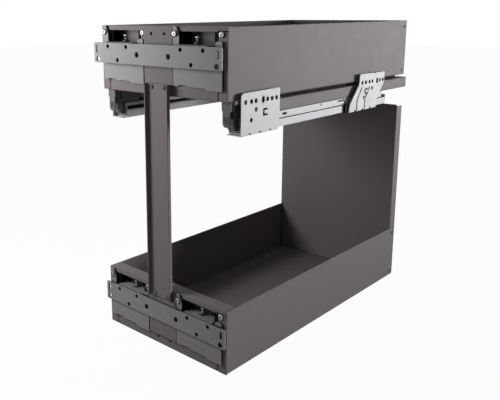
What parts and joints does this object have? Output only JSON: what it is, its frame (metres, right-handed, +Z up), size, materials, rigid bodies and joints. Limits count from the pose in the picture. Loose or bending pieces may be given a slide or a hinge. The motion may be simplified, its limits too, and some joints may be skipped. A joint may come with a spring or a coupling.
{
  "type": "two-tier pull-out basket",
  "caption": "Sheet-metal trays on a column and back panel, hung on full-extension undermount slides, with adjustable rails for a cabinet front.",
  "frame": {"origin": "bottom centre of the whole object's box with the basket closed", "axes": "+X to the right seen from the front, +Y from the facade rails to the back of the cabinet, +Z up"},
  "size_m": [0.264, 0.526, 0.488],
  "materials": {
    "tray_paint": "satin metallic anthracite-brown powder coat",
    "rail_grey": "matt grey coat",
    "galvanised": "galvanised sheet steel",
    "screw_zinc": "bright zinc plated",
    "ball_steel": "polished steel balls",
    "black_plastic": "black moulded plastic",
    "dark_plastic": "dark grey moulded plastic",
    "cage_plastic": "black moulded plastic"
  },
  "bodies": {
    "root": {"fixed_rail_left": "galvanised", "fixed_rail_right": "galvanised", "front_bracket_left": "galvanised", "front_bracket_right": "galvanised", "rear_bracket_left": "galvanised", "rear_bracket_right": "galvanised", "bracket_rivets": "screw_zinc", "soft_close_housing_left": "black_plastic", "soft_close_housing_right": "black_plastic", "soft_close_dampers": "galvanised"},
    "middle_left": {"middle_rail_left": "galvanised"},
    "lower_cage_left": {"lower_cage_left": "cage_plastic", "lower_balls_left": "ball_steel"},
    "upper_cage_left": {"upper_cage_left": "cage_plastic", "upper_balls_left": "ball_steel"},
    "lever_left": {"release_lever_left": "dark_plastic"},
    "middle_right": {"middle_rail_right": "galvanised"},
    "lower_cage_right": {"lower_cage_right": "cage_plastic", "lower_balls_right": "ball_steel"},
    "upper_cage_right": {"upper_cage_right": "cage_plastic", "upper_balls_right": "ball_steel"},
    "lever_right": {"release_lever_right": "dark_plastic"},
    "upper_slider": {"upper_depth_sliders": "galvanised"},
    "upper_facade": {"upper_facade_rail": "rail_grey", "upper_carriages": "rail_grey"},
    "upper_screw_left": {"upper_height_screw_left": "screw_zinc"},
    "upper_screw_right": {"upper_height_screw_right": "screw_zinc"},
    "lower_slider": {"lower_depth_sliders": "galvanised"},
    "lower_facade": {"lower_facade_rail": "rail_grey", "lower_carriages": "rail_grey"},
    "lower_screw_left": {"lower_height_screw_left": "screw_zinc"},
    "lower_screw_right": {"lower_height_screw_right": "screw_zinc"},
    "basket": {"back_panel": "tray_paint", "back_panel_screws": "screw_zinc", "carrier_left": "tray_paint", "carrier_right": "tray_paint", "carrier_spacers": "black_plastic", "catch_bars": "black_plastic", "column": "tray_paint", "column_screws": "tray_paint", "coupler_left": "dark_plastic", "coupler_pins": "dark_plastic", "coupler_right": "dark_plastic", "drawer_rail_left": "galvanised", "drawer_rail_right": "galvanised", "lower_clamp_screws": "screw_zinc", "lower_column_plate": "tray_paint", "lower_fixing_plate_left": "rail_grey", "lower_fixing_plate_right": "rail_grey", "lower_front_panel": "tray_paint", "lower_guide_blocks": "black_plastic", "lower_tray": "tray_paint", "tray_rivets": "tray_paint", "upper_clamp_screws": "screw_zinc", "upper_column_plate": "tray_paint", "upper_fixing_plate_left": "rail_grey", "upper_fixing_plate_right": "rail_grey", "upper_front_panel": "tray_paint", "upper_guide_blocks": "black_plastic", "upper_tray": "tray_paint"}
  },
  "joints": [
    {"name": "basket_slide", "type": "slide", "parent": "root", "child": "basket", "axis": [0, -1, 0], "range_m": [0, 0.385]},
    {"name": "middle_slide_left", "type": "slide", "parent": "root", "child": "middle_left", "axis": [0, -1, 0], "range_m": [0, 0.1925]},
    {"name": "lower_cage_slide_left", "type": "slide", "parent": "root", "child": "lower_cage_left", "axis": [0, -1, 0], "range_m": [0, 0.09625]},
    {"name": "upper_cage_slide_left", "type": "slide", "parent": "root", "child": "upper_cage_left", "axis": [0, -1, 0], "range_m": [0, 0.28875]},
    {"name": "middle_slide_right", "type": "slide", "parent": "root", "child": "middle_right", "axis": [0, -1, 0], "range_m": [0, 0.1925]},
    {"name": "lower_cage_slide_right", "type": "slide", "parent": "root", "child": "lower_cage_right", "axis": [0, -1, 0], "range_m": [0, 0.09625]},
    {"name": "upper_cage_slide_right", "type": "slide", "parent": "root", "child": "upper_cage_right", "axis": [0, -1, 0], "range_m": [0, 0.28875]},
    {"name": "upper_depth", "type": "slide", "parent": "basket", "child": "upper_slider", "axis": [0, -1, 0], "range_m": [-0.0085, 0]},
    {"name": "upper_height", "type": "slide", "parent": "upper_slider", "child": "upper_facade", "axis": [0, 0, 1], "range_m": [0, 0.004]},
    {"name": "upper_height_screw_left", "type": "hinge", "parent": "upper_slider", "child": "upper_screw_left", "pos_m": [-0.0725, -0.247, 0.444], "axis": [0, 0, 1], "range_deg": [-2058.14, 1]},
    {"name": "upper_height_screw_right", "type": "hinge", "parent": "upper_slider", "child": "upper_screw_right", "pos_m": [0.0725, -0.247, 0.444], "axis": [0, 0, 1], "range_deg": [-2058.14, 1]},
    {"name": "lower_depth", "type": "slide", "parent": "basket", "child": "lower_slider", "axis": [0, -1, 0], "range_m": [0, 0.0085]},
    {"name": "lower_height", "type": "slide", "parent": "lower_slider", "child": "lower_facade", "axis": [0, 0, 1], "range_m": [0, 0.004]},
    {"name": "lower_height_screw_left", "type": "hinge", "parent": "lower_slider", "child": "lower_screw_left", "pos_m": [-0.0725, -0.2385, 0.053], "axis": [0, 0, 1], "range_deg": [-2058.14, 1]},
    {"name": "lower_height_screw_right", "type": "hinge", "parent": "lower_slider", "child": "lower_screw_right", "pos_m": [0.0725, -0.2385, 0.053], "axis": [0, 0, 1], "range_deg": [-2058.14, 1]},
    {"name": "release_lever_left_press", "type": "hinge", "parent": "basket", "child": "lever_left", "pos_m": [-0.11685, -0.237, 0.383], "axis": [1, 0, 0], "range_deg": [0, 12], "stiffness_Nm_per_rad": 0.05, "springref_deg": -14.32},
    {"name": "release_lever_right_press", "type": "hinge", "parent": "basket", "child": "lever_right", "pos_m": [0.11685, -0.237, 0.383], "axis": [1, 0, 0], "range_deg": [0, 12], "stiffness_Nm_per_rad": 0.05, "springref_deg": -14.32}
  ],
  "couplings": [
    {"joint": "middle_slide_left", "follows": "basket_slide", "ratio": 0.5},
    {"joint": "lower_cage_slide_left", "follows": "basket_slide", "ratio": 0.25},
    {"joint": "upper_cage_slide_left", "follows": "basket_slide", "ratio": 0.75},
    {"joint": "middle_slide_right", "follows": "basket_slide", "ratio": 0.5},
    {"joint": "lower_cage_slide_right", "follows": "basket_slide", "ratio": 0.25},
    {"joint": "upper_cage_slide_right", "follows": "basket_slide", "ratio": 0.75},
    {"joint": "upper_height_screw_left", "follows": "upper_height", "rad_per_m": -8976},
    {"joint": "upper_height_screw_right", "follows": "upper_height", "rad_per_m": -8976},
    {"joint": "lower_height_screw_left", "follows": "lower_height", "rad_per_m": -8976},
    {"joint": "lower_height_screw_right", "follows": "lower_height", "rad_per_m": -8976}
  ]
}
